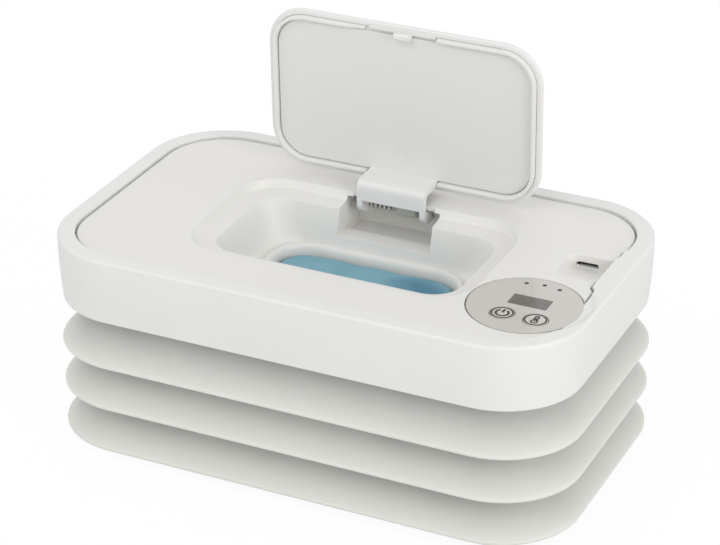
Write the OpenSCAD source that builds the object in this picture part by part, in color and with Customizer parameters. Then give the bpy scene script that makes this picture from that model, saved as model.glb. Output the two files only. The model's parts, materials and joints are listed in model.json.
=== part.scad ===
// Wipe warmer with a folding tub: rigid heater housing, hinged lid, soft bellows and base.
// Millimetres, +Z up, floor at z = 0, +X right, front towards -Y.

/* [Body] */
// Width of the housing, left to right
body_w = 220; // [214:1:236]
// Depth of the housing, front to back
body_d = 134.6; // [132:0.2:148]
// Corner radius of the housing outline
corner_r = 33; // [30:0.5:36]
// Height of the rigid rim
rim_h = 27.3; // [27:0.1:32]
// Height of one bellows fold
fold_h = 18.6; // [17:0.1:21]
// How far the bellows folds reach in
fold_depth = 9; // [7.5:0.1:10]
// Thickness of the moulded plastic
wall = 2.2; // [1.8:0.1:2.4]

/* [Lid and well] */
// Width of the lid seat
seat_w = 120.3; // [112:0.1:122]
// Depth of the lid seat, front to back
seat_d = 70.9; // [69:0.1:74]
// Corner radius of the lid seat
seat_r = 17.2; // [16:0.1:20]
// Width of the dispensing throat
throat_w = 77.5; // [70:0.1:80]
// Depth of the dispensing throat
throat_d = 44; // [40:0.1:46]
// How far the lid stands open
lid_open = 88; // [80:1:92]
// Gap all round the closed lid
lid_gap = 0.75; // [0.7:0.01:1.2]
// Radius of the hinge pin
pin_r = 1.5; // [1.2:0.05:1.8]
// Radial play of the hinge bores
pin_play = 0.05; // [0.03:0.01:0.09]

/* [Controls] */
// Radius of the round control cover
panel_r = 22; // [20.5:0.1:22.5]
// Radius of a key cap
key_r = 4.7; // [4.2:0.1:5]
// How far a key sinks
key_travel = 0.6; // [0.4:0.05:0.7]
// Gap round a key cap
key_gap = 0.3; // [0.25:0.05:0.5]

/* [Base] */
// Radius of a rubber foot
foot_r = 7; // [5:0.5:9]
// Height of a rubber foot
foot_h = 2.2; // [1.5:0.1:3]

/* [Hidden] */
$fn = 40;
eps = 0.01;
corner_steps = 8;
fold_count = 3;
base_t = 2.8;
lip_drop = 1.1;
skin = 1.5;
base_top = foot_h + base_t;
lip_z = base_top + lip_drop;
rim_z = lip_z + fold_count * fold_h + 0.8;
top_z = rim_z + rim_h;
deck_drop = 1;
deck_z = top_z - deck_drop;
rim_edge = 6.9;
part_gap = 0.35;
deck_in = rim_edge + part_gap;
neck_z = rim_z - 1.3;
ring_in = fold_depth + 2.5;
ring_out = fold_depth + 8;
collar_z = neck_z + skin;
collar_t = 2.5;
lift_gap = 0.3;
tray_z = collar_z + collar_t + lift_gap;
tray_in = ring_out + 1;
tray_low = rim_z - 2.9;
tray_t = 2;
plate_t = 1.6;
film_t = 0.3;
plate_z = tray_low - film_t - plate_t;
pad_t = 3;

seat_x = 0.8;
seat_y = -2.7;
seat_fall = 3.4;
ledge_fall = 0.9;
well_w = seat_w - 16;
well_d = seat_d - 17.4;
well_r = 11.3;
well_y = seat_y + 0.4;
throat_y = -3.5;
throat_r = 12;
lip_rise = 1.7;
well_z = top_z - 22.8;

lid_w = seat_w - 2 * lid_gap;
lid_d = seat_d - 2 * lid_gap;
lid_r = seat_r - lid_gap;
lid_t = 2.2;
lid_top = top_z;
axis_y = seat_y + seat_d / 2 + 7.05;
axis_z = top_z - 6.8;
hinge_x = 1.1;
bracket_w = 29.8;
arm_w = 2.2;
slot_x0 = -18.7;
slot_x1 = 22.2;
slot_y0 = axis_y - 18.6;
slot_y1 = axis_y + 4.6;
slot_z = axis_z - 9.7;
slot_low = axis_z - 11.9;
roof_t = 1.8;
roof_edge = axis_y - 6.8;
rib_in = 2.4;
rib_w = 1.5;
rib_h = 2.1;
rib_gap = 31;
lining_in = 6.9;
hook_x = seat_x + 1;
hook_w = 6;
hook_in = 4.4;
tab_in = 2.3;

panel_side = 26.9;
panel_front = 38.4;
panel_x = body_w / 2 - panel_side;
panel_y = -body_d / 2 + panel_front;
panel_t = 2;
panel_top = deck_z + 0.1;
groove = 0.5;
dish_r = panel_r + 1.7;
dish_z = deck_z + 0.05;
flange_t = 1.8;
panel_z = panel_top - panel_t;
flange_z = panel_z - flange_t;
key_flange = 0.9;
key_hat_z = panel_z - 0.3;
key_top = panel_top + 0.05;
switch_gap = 0.05;
button_top = key_hat_z - key_flange - switch_gap - key_travel;
board_t = 1.6;
switch_h = 2.6;
board_z = button_top - 0.5 - switch_h - board_t;
keys = [for (p = [[-5.2, -9.6], [8, -9.6]]) [panel_x + p[0], panel_y + p[1]]];
led_at = [for (p = [[-5.8, 16.3], [1, 17.5], [7.5, 16.3]]) [panel_x + p[0], panel_y + p[1]]];
led_r = 0.9;
window_at = [panel_x + 1, panel_y + 2.8];
window_w = 15.5;
window_d = 8.2;

port_w = 27.5;
port_x0 = body_w / 2 - port_w;
port_x1 = body_w / 2 - deck_in - 1;
port_run = 24.2;
port_y0 = panel_y + 23.9;
port_y = port_y0 + port_run;
port_fall = 7;
plug_x = body_w / 2 - 20;
plug_z = deck_z - 4.2;
plug_w = 8.94;
plug_h = 3.26;
plug_l = 7.4;

post_side = 30;
post_end = 28.3;
posts = [[-body_w / 2 + post_side, body_d / 2 - post_end], [-body_w / 2 + post_side, -body_d / 2 + post_end],
    [body_w / 2 - post_side, body_d / 2 - post_end], [panel_x - 27, panel_y - 14]];
post_r = 3.6;
screw_r = 1.4;
foot_in = 28;
foot_at = [for (sx = [-1, 1]) for (sy = [-1, 1]) [sx * (body_w / 2 - foot_in), sy * (body_d / 2 - foot_in)]];
clamp_in = 50;
clamp_x = body_w / 2 - clamp_in;
clamp_at = [for (x = [-clamp_x, 0, clamp_x]) for (sy = [-1, 1]) [x, sy]];
recess_gap = 8;
recess_w = body_w / 2 - 66;
recess_d = body_d - 64.6;
board_r = panel_r - 2.6;
board_tail = 18;
boss_r = panel_r - 5;
inlet_l = 16;
inlet_w = 14;
tab_w = 29;
pad_side = 25;
pad_d = body_d - 64.6;
plate_side = 33;
lead_r = 0.8;
lead_drop = 9;

// Ring of points: a rounded rectangle w by d, corner r, centre (x, y), height z.
function rect_ring(w, d, r, x, y, z) = [
    for (q = [0:3]) for (i = [0:corner_steps])
        let (a = q * 90 + i * 90 / corner_steps,
             sx = (q == 0 || q == 3) ? 1 : -1, sy = (q < 2) ? 1 : -1)
        [x + sx * (w / 2 - r) + r * cos(a), y + sy * (d / 2 - r) + r * sin(a), z]];
// The same, measured in from the housing outline.
function body_ring(p) = rect_ring(body_w - 2 * p[0], body_d - 2 * p[0],
    max(corner_r - p[0], 6), 0, 0, p[1]);
function seat_ring(p) = rect_ring(seat_w - 2 * p[0], seat_d - 2 * p[0],
    max(seat_r - p[0], 3), seat_x, seat_y, p[1]);
function throat_ring(p) = rect_ring(throat_w + 2 * p[0], throat_d + 2 * p[0],
    throat_r + p[0], seat_x, throat_y, p[1]);

// Solid through a stack of rings, bottom first; closed into a loop when looped.
module loft(rings, looped = false) {
    n = len(rings[0]);
    m = len(rings);
    last = looped ? m - 1 : m - 2;
    sides = [for (k = [0:last]) for (i = [0:n - 1])
        let (a = k * n + i, b = k * n + (i + 1) % n,
             c = ((k + 1) % m) * n + (i + 1) % n, d = ((k + 1) % m) * n + i)
        each [[a, c, b], [a, d, c]]];
    caps = looped ? [] : [[for (i = [0:n - 1]) i], [for (i = [n - 1:-1:0]) (m - 1) * n + i]];
    polyhedron([for (r = rings) each r], concat(sides, caps), convexity = 8);
}
module body_loop(path) { loft([for (p = path) body_ring(p)], true); }
module box(x0, x1, y0, y1, z0, z1) {
    translate([x0, y0, z0]) cube([x1 - x0, y1 - y0, z1 - z0]);
}
module rod_x(x0, x1, r) { translate([x0, 0, 0]) rotate([0, 90, 0]) cylinder(r = r, h = x1 - x0); }
module rounded(w, d, r, h) {
    linear_extrude(height = h) {
        square([w - 2 * r, d], center = true);
        square([w, d - 2 * r], center = true);
        for (sx = [-1, 1]) for (sy = [-1, 1])
            translate([sx * (w / 2 - r), sy * (d / 2 - r)]) circle(r = r);
    }
}
// Places children given about the hinge axis with the lid shut.
module lid_place() { translate([0, axis_y, axis_z]) rotate([-lid_open, 0, 0]) children(); }
// Shut-lid ring about the hinge axis, p = [inset, drop below the lid top].
function lid_ring(p) = rect_ring(lid_w - 2 * p[0], lid_d - 2 * p[0], max(lid_r - p[0], 2),
    seat_x, seat_y - axis_y, lid_top - axis_z - p[1]);
module post_holes(r, z0, h) { for (p = posts) translate([p[0], p[1], z0]) cylinder(r = r, h = h); }
module clamp_places() {
    for (c = clamp_at)
        translate([c[0], c[1] * (body_d / 2 - (ring_in + ring_out) / 2 - 1), 0]) children();
}
module screw(head_r, head_h, r, l) {
    difference() {
        cylinder(r = head_r, h = head_h);
        translate([0, 0, -eps]) cylinder(r = head_r * 0.42, h = head_h * 0.6);
    }
    cylinder(r = r, h = head_h + l);
}

module rubber_feet() {
    color("#3b3a39") for (f = foot_at) translate([f[0], f[1], 0]) {
        translate([0, 0, 0.5]) cylinder(r = foot_r, h = foot_h - 0.5);
        cylinder(r1 = foot_r - 0.5, r2 = foot_r, h = 0.5);
    }
}
module base_plate() {
    color("#dcdad5") difference() {
        loft([for (p = [[5.2, foot_h], [4.6, foot_h + 0.6], [4.6, base_top]]) body_ring(p)]);
        clamp_places() translate([0, 0, foot_h - eps]) {
            cylinder(r = 2.9, h = 1.2);
            cylinder(r = screw_r, h = base_t + 1);
        }
        for (x = [-1, 1]) translate([x * (recess_gap + recess_w / 2), 0, base_top - 1])
            rounded(recess_w, recess_d, recess_gap, 1.2);
    }
}
module base_ring() {
    color("#dcdad5") difference() {
        body_loop([for (p = [[ring_in, 0], [ring_out, 0], [ring_out, 2.6], [ring_in + 1, 2.6],
            [ring_in, 1.6]]) [p[0], base_top + skin + 0.05 + p[1]]]);
        clamp_places() translate([0, 0, base_top]) cylinder(r = screw_r - 0.1, h = skin + 4);
    }
}
module base_screws() {
    color("#a8aaad") clamp_places() translate([0, 0, foot_h + 0.1])
        screw(2.6, 1, screw_r - 0.15, base_t + skin + 1.3);
}
function fold_out(z) = [[fold_depth, z + fold_h - 1.6], [fold_depth - 0.5, z + 0.72 * fold_h],
    [fold_depth - 2.3, z + 0.48 * fold_h], [0.44 * fold_depth, z + 0.25 * fold_h],
    [0.14 * fold_depth, z + 0.1 * fold_h], [0.2, z + 0.9], [0, z + 0.1], [0.45, z - 0.65],
    [1.4, z - lip_drop], [fold_depth - 1.4, z - lip_drop + 0.3]];
function fold_in(z) = [[fold_depth + skin, z - lip_drop + 0.3 + skin * 0.6],
    [3.4, z - lip_drop + 0.2 + skin], [2.4, z + 1.6], [0.14 * fold_depth + 1.9, z + 0.1 * fold_h + 0.9],
    [0.44 * fold_depth + 1.6, z + 0.25 * fold_h - 0.2], [fold_depth - 0.8, z + 0.48 * fold_h - 0.4],
    [fold_depth + 0.95, z + 0.72 * fold_h - 0.4], [fold_depth + skin, z + fold_h - 2.2]];
module bellows() {
    fold_zs = [for (k = [0:fold_count - 1]) lip_z + k * fold_h];
    outer = [for (k = [fold_count - 1:-1:0]) each fold_out(fold_zs[k])];
    inner = [for (k = [0:fold_count - 1]) each (k == 0
        ? [for (i = [2:7]) fold_in(fold_zs[0])[i]] : fold_in(fold_zs[k]))];
    path = concat([[ring_out - 1, neck_z + skin - 0.02], [fold_depth + 0.5, neck_z + skin - 0.02],
        [fold_depth, neck_z + skin - 0.6]], outer,
        [[ring_out - 1, base_top + 0.02], [ring_out - 1, base_top + skin],
            [4, base_top + skin]], inner,
        [[fold_depth + skin + 0.4, neck_z + 0.02], [ring_out - 1, neck_z + 0.02]]);
    color("#d5d5cf") difference() {
        body_loop([for (i = [len(path) - 1:-1:0]) path[i]]);
        clamp_places() {
            translate([0, 0, base_top - 1]) cylinder(r = screw_r, h = skin + 2);
            translate([0, 0, neck_z - 1]) cylinder(r = screw_r, h = skin + 2);
        }
    }
}
module collar_clamp() {
    color("#dcdad5") difference() {
        body_loop([for (p = [[ring_in, 1], [ring_in + 1, 0], [ring_out, 0], [ring_out, 2.6],
            [ring_in, 2.6]]) [p[0], neck_z - 2.65 + p[1]]]);
        clamp_places() translate([0, 0, neck_z - 3]) {
            cylinder(r = 2.9, h = 1.4);
            cylinder(r = screw_r, h = 4);
        }
    }
}
module collar_ring() {
    color("#dcdad5") difference() {
        body_loop([for (p = [[5, 0], [ring_out, 0], [ring_out, collar_t], [5, collar_t]])
            [p[0], collar_z + 0.02 + p[1]]]);
        clamp_places() translate([0, 0, collar_z - 1]) cylinder(r = screw_r - 0.15, h = 3);
    }
}
module collar_screws() {
    color("#a8aaad") clamp_places() translate([0, 0, neck_z - 2.6])
        screw(2.6, 1, screw_r - 0.15, skin + 3);
}

// Rigid rim: tapered skirt, rounded top edge, two inner ledges.
module rim_frame() {
    path = [[1.2, rim_z], [0.15, rim_z + 0.55 * rim_h], [0, top_z - 3.4], [0.35, top_z - 1.7],
        [1.2, top_z - 0.6], [2.6, top_z], [rim_edge - 0.5, top_z], [rim_edge, top_z - 0.4],
        [rim_edge, deck_z - 2.3], [rim_edge + 3.6, deck_z - 2.3], [rim_edge + 3.6, deck_z - 4.1],
        [3.6, deck_z - 4.1], [3.8, tray_z + 4], [8.5, tray_z + 4], [8.5, tray_z + tray_t + 0.1],
        [3.9, tray_z + tray_t + 0.1], [4, rim_z + 0.4], [3.6, rim_z]];
    color("#e2e0dc") difference() {
        body_loop([for (i = [len(path) - 1:-1:0]) path[i]]);
        translate([panel_x, panel_y, dish_z]) cylinder(r = dish_r, h = 5, $fn = 72);
        translate([panel_x, panel_y, tray_z + tray_t + 5]) cylinder(r = panel_r + 0.4,
            h = deck_z - tray_z, $fn = 72);
        box(port_x0 - 2, port_x1 - 0.3, port_y0 + 0.8, port_y + 2.2, deck_z - port_fall - 2, deck_z - 1);
    }
}
// Air above the deck: seat, ledge, well and throat.
module deck_air() {
    well = [for (p = [[0, 0], [3.4, 8.4], [5.2, 13.4], [6.6, 16.2], [8.6, 17.5], [10.2, 17.7]])
        rect_ring(well_w - 2 * p[0] * (well_w - throat_w) / 27, well_d - 2 * p[0] * (well_d - throat_d) / 27,
            well_r + 1, seat_x, well_y + (throat_y - well_y) * min(1, p[0] / 7),
            top_z - seat_fall - deck_drop - ledge_fall - p[1])];
    rings = concat(
        [for (p = [[0, plate_z - 1], [0, well_z - 2.6], [0.5, well_z + 0.2], [1.2, well_z + lip_rise - 0.3],
            [1.9, well_z + lip_rise], [2.6, well_z + lip_rise - 0.4], [2.9, well_z - 0.2]]) throat_ring(p)],
        [for (i = [5:-1:0]) well[i]],
        [for (p = [[1.5, deck_z - seat_fall], [0.6, deck_z - 1.6], [0, deck_z], [-0.01, top_z + 3]])
            seat_ring(p)]);
    loft(rings);
}
module wedge(x0, x1, y0, y1, z_low, z_high) {
    translate([x0, 0, 0]) rotate([90, 0, 90]) linear_extrude(height = x1 - x0)
        polygon([[y0, z_high], [y1, z_low], [y1, z_high + 3], [y0, z_high + 3]]);
}
module deck_body() {
    loft([
        throat_ring([wall, plate_z]), throat_ring([wall, well_z - wall]),
        rect_ring(well_w - 4, well_d + 0.5, well_r + 2, seat_x, throat_y + 0.6, well_z - wall),
        rect_ring(well_w + 2 * wall, well_d + 2 * wall, well_r + wall, seat_x, well_y,
            deck_z - seat_fall - ledge_fall - wall),
        seat_ring([-wall + 1.5, deck_z - seat_fall - wall]), seat_ring([-wall, deck_z - wall - 0.2]),
        body_ring([deck_in + 0.4, deck_z - 2.25]), body_ring([deck_in, deck_z - 1.9]),
        body_ring([deck_in, deck_z - 0.3]), body_ring([deck_in + 0.3, deck_z])]);
}
module top_deck() {
    color("#dfddd8") difference() {
        union() {
            deck_body();
            box(slot_x0 - 2, slot_x1 + 2, slot_y0 - 1, slot_y1 + 2, slot_low - 1.8, deck_z - 1);
            box(port_x0 - 1.8, port_x1 - 0.5, port_y0 + 1, port_y + 2, deck_z - port_fall - 1.8, deck_z - 1);
            translate([panel_x, panel_y, flange_z]) cylinder(r = panel_r - 0.4, h = deck_z - flange_z - 1);
            for (p = posts) translate([p[0], p[1], tray_low + tray_t + 0.1])
                cylinder(r = post_r, h = deck_z - 1 - tray_low - tray_t);
            for (a = [20, 150, 270]) translate([panel_x + boss_r * cos(a), panel_y + boss_r * sin(a),
                board_z + board_t]) cylinder(r = 2.2, h = flange_z - board_z - board_t + 0.5);
        }
        deck_air();
        // hinge pocket, stepped floor, thin roof over the pin
        box(slot_x0, slot_x1, slot_y0 - 6, slot_y1 - 13, slot_z, top_z);
        box(slot_x0, slot_x1, slot_y1 - 14, slot_y1, slot_low, deck_z - roof_t);
        box(slot_x0 + 2.5, slot_x1 - 2.5, slot_y1 - 14, roof_edge, slot_low, top_z);
        // control cover opening
        translate([panel_x, panel_y, panel_z]) cylinder(r = panel_r + groove, h = 6, $fn = 72);
        translate([panel_x, panel_y, flange_z - 1]) cylinder(r = panel_r - 3, h = 6);
        // power inlet recess
        wedge(port_x0, port_x1 - 2.2, port_y0, port_y, deck_z - port_fall, deck_z);
        box(plug_x - plug_w / 2 - 0.15, plug_x + plug_w / 2 + 0.15, port_y - 1, port_y + 3,
            plug_z - plug_h / 2 - 0.15, plug_z + plug_h / 2 + 0.15);
        // latch catch
        box(hook_x - hook_w / 2 - 0.8, hook_x + hook_w / 2 + 0.8, seat_y - lid_d / 2 + hook_in - 2.4,
            seat_y - lid_d / 2 + hook_in + 3.6, deck_z - seat_fall - 4.2, deck_z - 1);
        // pin bores and screw pilots
        translate([0, axis_y, axis_z]) rod_x(slot_x0 - 1.4, slot_x1 + 1.4, pin_r);
        post_holes(screw_r - 0.15, tray_low + tray_t, 12);
    }
}
module under_tray() {
    out = tray_in;
    color("#d9d7d2") difference() {
        loft([body_ring([out + 0.8, tray_low]), body_ring([out, tray_low + 1]),
            body_ring([out, tray_z]), body_ring([5, tray_z]), body_ring([5, tray_z + tray_t])]);
        loft([body_ring([out + tray_t, tray_low + tray_t]), body_ring([out + tray_t, tray_z + tray_t + 1])]);
        loft([throat_ring([wall + 0.2, tray_low - 1]), throat_ring([wall + 0.2, tray_z])]);
        post_holes(screw_r, tray_low - 1, 6);
        post_holes(2.9, tray_low - 1, 2.2);
    }
}
module housing_screws() {
    color("#a8aaad") for (p = posts) translate([p[0], p[1], tray_low + 0.1])
        screw(2.6, 1.1, screw_r - 0.15, tray_t + 7);
}
module heater_plate() {
    color("#c9ccd0") difference() {
        translate([seat_x, throat_y, plate_z])
            rounded(throat_w + 2 * plate_side, throat_d + plate_side + 1, 12, plate_t);
        loft([throat_ring([wall + 0.3, plate_z - 1]), throat_ring([wall + 0.3, plate_z + 3])]);
    }
}
module heater_film() {
    color("#c8742a") difference() {
        translate([seat_x, throat_y, plate_z + plate_t])
            rounded(throat_w + 2 * plate_side - 8, throat_d + plate_side - 5, 10, film_t);
        loft([throat_ring([wall + 3, plate_z - 1]), throat_ring([wall + 3, plate_z + 4])]);
    }
}
module insulation_pad() {
    color("#8f9296") difference() {
        translate([seat_x, throat_y, tray_low + tray_t])
            rounded(throat_w + 2 * pad_side, pad_d, 10, pad_t);
        loft([throat_ring([wall + 1, tray_low]), throat_ring([wall + 1, tray_low + 9])]);
    }
}
module thermal_fuse() {
    color("#b9a06a") translate([seat_x - throat_w / 2 - pad_side + 5, throat_y - 10,
        tray_low + tray_t + pad_t + 1.5]) rotate([0, 90, 90]) {
        cylinder(r = 1.5, h = 9);
        translate([0, 0, -4]) cylinder(r = 0.4, h = 17);
    }
}
module thermistor() {
    color("#2d2b29") translate([seat_x + throat_w / 2 + pad_side + 2, throat_y + 9,
        tray_low + tray_t + 1.5]) {
        sphere(r = 1.5);
        rotate([0, 90, 0]) cylinder(r = 0.5, h = 9);
    }
}
module control_board() {
    color("#2f6b3d") difference() {
        translate([panel_x, panel_y, board_z]) linear_extrude(height = board_t) {
            circle(r = board_r);
            translate([1.5 - board_tail, 2 - board_r]) square([board_tail, 2 * board_r - 4]);
        }
        for (a = [20, 150, 270])
            translate([panel_x + boss_r * cos(a), panel_y + boss_r * sin(a), board_z - 1])
            cylinder(r = 1, h = 4);
    }
}
module control_chip() {
    color("#232325") translate([panel_x - 7, panel_y - 2, board_z - 1.2]) cube([8, 8, 1.2]);
}
module board_parts() {
    color("#30302f") for (p = [[2, 8], [8, 3], [-9, -12], [3, -13]])
        translate([panel_x + p[0], panel_y + p[1], board_z - 2.4]) cylinder(r = 2, h = 2.4);
}
module board_plug() {
    color("#e9e7dd") translate([panel_x + 6, panel_y - 11, board_z - 5]) cube([6, 9, 5]);
}
module tact_switches() {
    color("#3a3a3c") for (k = keys) translate([k[0] - 2.6, k[1] - 2.6, board_z + board_t])
        cube([5.2, 5.2, switch_h]);
}
module switch_buttons() {
    color("#8c8c8e") for (k = keys) translate([k[0], k[1], board_z + board_t + switch_h])
        cylinder(r = 1.6, h = button_top - board_z - board_t - switch_h);
}
module display_module() {
    color("#1c1d20") translate([window_at[0] - window_w / 2 + 0.6, window_at[1] - window_d / 2 + 0.4,
        board_z + board_t]) cube([window_w - 1.2, window_d - 0.8, panel_z + 0.4 - board_z - board_t]);
}
module display_window() {
    color("#0d0e11") translate([window_at[0] - window_w / 2, window_at[1] - window_d / 2, panel_top - 1.4])
        cube([window_w, window_d, 1.4]);
}
module status_leds() {
    color("#d8d8c8") for (p = led_at) translate([p[0] - 0.8, p[1] - 0.8, board_z + board_t])
        cube([1.6, 1.6, 0.9]);
}
module light_pipes() {
    color("#26272a") for (p = led_at) translate([p[0], p[1], board_z + board_t + 0.9])
        cylinder(r = led_r, h = panel_top - board_z - board_t - 0.9);
}
module panel_cover() {
    color("#cfcdc8") difference() {
        union() {
            translate([panel_x, panel_y, panel_z]) cylinder(r = panel_r, h = panel_t - 0.5, $fn = 72);
            translate([panel_x, panel_y, panel_top - 0.5]) cylinder(r1 = panel_r, r2 = panel_r - 0.5,
                h = 0.5, $fn = 72);
        }
        for (k = keys) translate([k[0], k[1], panel_z - 1]) cylinder(r = key_r + key_gap, h = panel_t + 2);
        for (p = led_at) translate([p[0], p[1], panel_z - 1]) cylinder(r = led_r, h = panel_t + 2);
        translate([window_at[0] - window_w / 2, window_at[1] - window_d / 2, panel_top - 1.4])
            cube([window_w, window_d, 3]);
        translate([window_at[0] - window_w / 2 + 0.5, window_at[1] - window_d / 2 + 0.3, panel_z - 1])
            cube([window_w - 1, window_d - 0.6, 3]);
    }
}
module key_cap(k) {
    translate([k[0], k[1], 0]) {
        translate([0, 0, key_hat_z - key_flange]) cylinder(r = key_r + key_gap + 0.8, h = key_flange);
        translate([0, 0, key_hat_z - eps]) cylinder(r = key_r, h = key_top - key_hat_z);
    }
}
module power_key() { color("#d6d4cf") key_cap(keys[0]); }
module temperature_key() { color("#d6d4cf") key_cap(keys[1]); }
module usb_socket() {
    color("#b4b6ba") difference() {
        box(plug_x - plug_w / 2, plug_x + plug_w / 2, port_y + 0.1, port_y + plug_l,
            plug_z - plug_h / 2, plug_z + plug_h / 2);
        box(plug_x - plug_w / 2 + 0.3, plug_x + plug_w / 2 - 0.3, port_y - 1, port_y + plug_l - 0.6,
            plug_z - plug_h / 2 + 0.3, plug_z + plug_h / 2 - 0.3);
    }
}
module usb_tongue() {
    color("#1e1e20") box(plug_x - 3.3, plug_x + 3.3, port_y + 1, port_y + plug_l - 0.6,
        plug_z - 0.35, plug_z + 0.35);
}
module inlet_board() {
    color("#2f6b3d") box(plug_x - inlet_w / 2, plug_x + inlet_w / 2, port_y + 2.4, port_y + inlet_l,
        plug_z - plug_h / 2 - 1.2, plug_z - plug_h / 2);
}
module leads() {
    z = board_z - lead_drop;
    x0 = seat_x + throat_w / 2 + pad_side + lead_r + 0.4;
    x1 = panel_x + 9;
    y0 = panel_y - 4;
    y1 = panel_y + 9;
    y2 = port_y + 10;
    color("#b3322c") {
        translate([x1, y0, z]) cylinder(r = lead_r, h = lead_drop - 5);
        translate([x0, y0, z]) rotate([0, 90, 0]) cylinder(r = lead_r, h = x1 - x0);
        translate([x0, y0, tray_low + tray_t + 0.05]) cylinder(r = lead_r, h = z - tray_low - tray_t);
        translate([plug_x, y1, z]) cylinder(r = lead_r, h = lead_drop);
        translate([plug_x, y2, z]) cylinder(r = lead_r, h = plug_z - plug_h / 2 - 1.2 - z);
        translate([plug_x, y1, z]) rotate([-90, 0, 0]) cylinder(r = lead_r, h = y2 - y1);
    }
}
module hinge_pin() {
    color("#c4c7ca") translate([0, axis_y, axis_z]) rod_x(slot_x0 - 1.4, slot_x1 + 1.4, pin_r);
}
module hinge_damper() {
    color("#8b8a84") translate([0, axis_y, axis_z]) difference() {
        rod_x(0.8, 9.6, 3.7);
        rod_x(0, 10, pin_r);
    }
}
module hinge_spring() {
    r = pin_r + 1.1;
    wire = 0.45;
    turns = 5;
    steps = 12;
    x0 = hinge_x - 12.1;
    pitch = 2;
    rings = [for (i = [0:turns * steps]) [for (j = [0:5])
        let (a = i * 360 / steps, b = j * 60, rr = r + wire * cos(b))
        [x0 + pitch * i / steps + wire * sin(b), rr * cos(a), rr * sin(a)]]];
    color("#b9bcc0") translate([0, axis_y, axis_z]) loft(rings);
}
module hinge_bracket() {
    x0 = hinge_x - bracket_w / 2;
    x1 = hinge_x + bracket_w / 2;
    color("#dfddd9") lid_place() rotate([90, 0, 0]) difference() {
        union() {
            translate([x0, 0, 0]) rotate([90, 0, 90]) linear_extrude(height = bracket_w)
                polygon([[4.55, 12.6], [-4.8, 12.6], [-6.6, 12.2], [-8, 11.1], [-8.9, 9.6], [-9.2, 8],
                    [-9.2, 4], [-7.3, 4], [-7.3, 7], [-6.6, 9.2], [-5, 10.4], [4.55, 10.4]]);
            for (x = [x0, x1 - arm_w]) translate([x, 0, 0]) {
                rotate([90, 0, 90]) linear_extrude(height = arm_w)
                    polygon([[-9.2, 4.5], [-9.2, 1.4], [-8.4, -0.6], [-6, -2.4], [0, -3], [0, 3],
                        [-6, 2.8], [-7.3, 3.8], [-7.35, 4.5]]);
                rotate([0, 90, 0]) cylinder(r = 3, h = arm_w);
            }
        }
        rod_x(x0 - 1, x1 + 1, pin_r + pin_play);
    }
}
module lid_cover() {
    color("#e3e1dd") lid_place() difference() {
        loft([for (p = [[1.4, lid_t], [0.5, lid_t - 0.35], [0, lid_t - 1], [0, 0.8], [0.35, 0.2],
            [1.3, 0]]) lid_ring(p)]);
        loft([for (p = [[lining_in, lid_t + 1], [lining_in, lid_t - 0.9]]) lid_ring(p)]);
        difference() {
            loft([for (p = [[rib_in, lid_t + 1], [rib_in, lid_t - 0.6]]) lid_ring(p)]);
            loft([for (p = [[rib_in + rib_w, lid_t + 2], [rib_in + rib_w, lid_t - 1.6]]) lid_ring(p)]);
        }
    }
}
module lid_panel() {
    color("#dbd9d6") lid_place() loft([for (p = [[lining_in + 0.3, lid_t + 0.15],
        [lining_in + 0.1, lid_t], [lining_in + 0.1, lid_t - 0.85]]) lid_ring(p)]);
}
module lid_rib() {
    color("#e6e4df") lid_place() difference() {
        loft([for (p = [[rib_in + 0.25, lid_t + rib_h], [rib_in, lid_t + rib_h - 0.3],
            [rib_in, lid_t - 0.6]]) lid_ring(p)]);
        loft([for (p = [[rib_in + rib_w, lid_t + rib_h + 1], [rib_in + rib_w, lid_t - 1.6]]) lid_ring(p)]);
        translate([seat_x - rib_gap / 2, -lid_d - 30, -20])
            cube([rib_gap, lid_d + 60, 20 + lid_top - axis_z - lid_t]);
    }
}
module latch_hook() {
    y = seat_y - axis_y - lid_d / 2 + hook_in;
    z = lid_top - axis_z - lid_t;
    color("#e3e1dd") lid_place() {
        translate([hook_x - hook_w / 2, y - 0.8, z - 4.2]) cube([hook_w, 1.6, 4.2]);
        translate([hook_x - hook_w / 2, 0, 0]) rotate([90, 0, 90]) linear_extrude(height = hook_w)
            polygon([[y, z - 4.2], [y - 0.8, z - 4.2], [y - 1.9, z - 3.4], [y - 0.8, z - 2.4], [y, z - 2.4]]);
    }
}
module pull_tab() {
    color("#e3e1dd") lid_place() translate([seat_x - tab_w / 2, seat_y - axis_y - lid_d / 2 + tab_in - 0.8,
        lid_top - axis_z - lid_t - 0.7]) cube([tab_w, 1.6, 0.7]);
}

rubber_feet();
base_plate();
base_ring();
base_screws();
bellows();
collar_clamp();
collar_ring();
collar_screws();
rim_frame();
top_deck();
under_tray();
housing_screws();
heater_plate();
heater_film();
insulation_pad();
thermal_fuse();
thermistor();
control_board();
control_chip();
board_parts();
board_plug();
tact_switches();
switch_buttons();
display_module();
display_window();
status_leds();
light_pipes();
panel_cover();
power_key();
temperature_key();
usb_socket();
usb_tongue();
inlet_board();
leads();
hinge_pin();
hinge_damper();
hinge_spring();
hinge_bracket();
lid_cover();
lid_panel();
lid_rib();
latch_hook();
pull_tab();
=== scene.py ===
"""Wipe warmer with a folding tub: the looks, laid out as an add-on and run as a script."""

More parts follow.
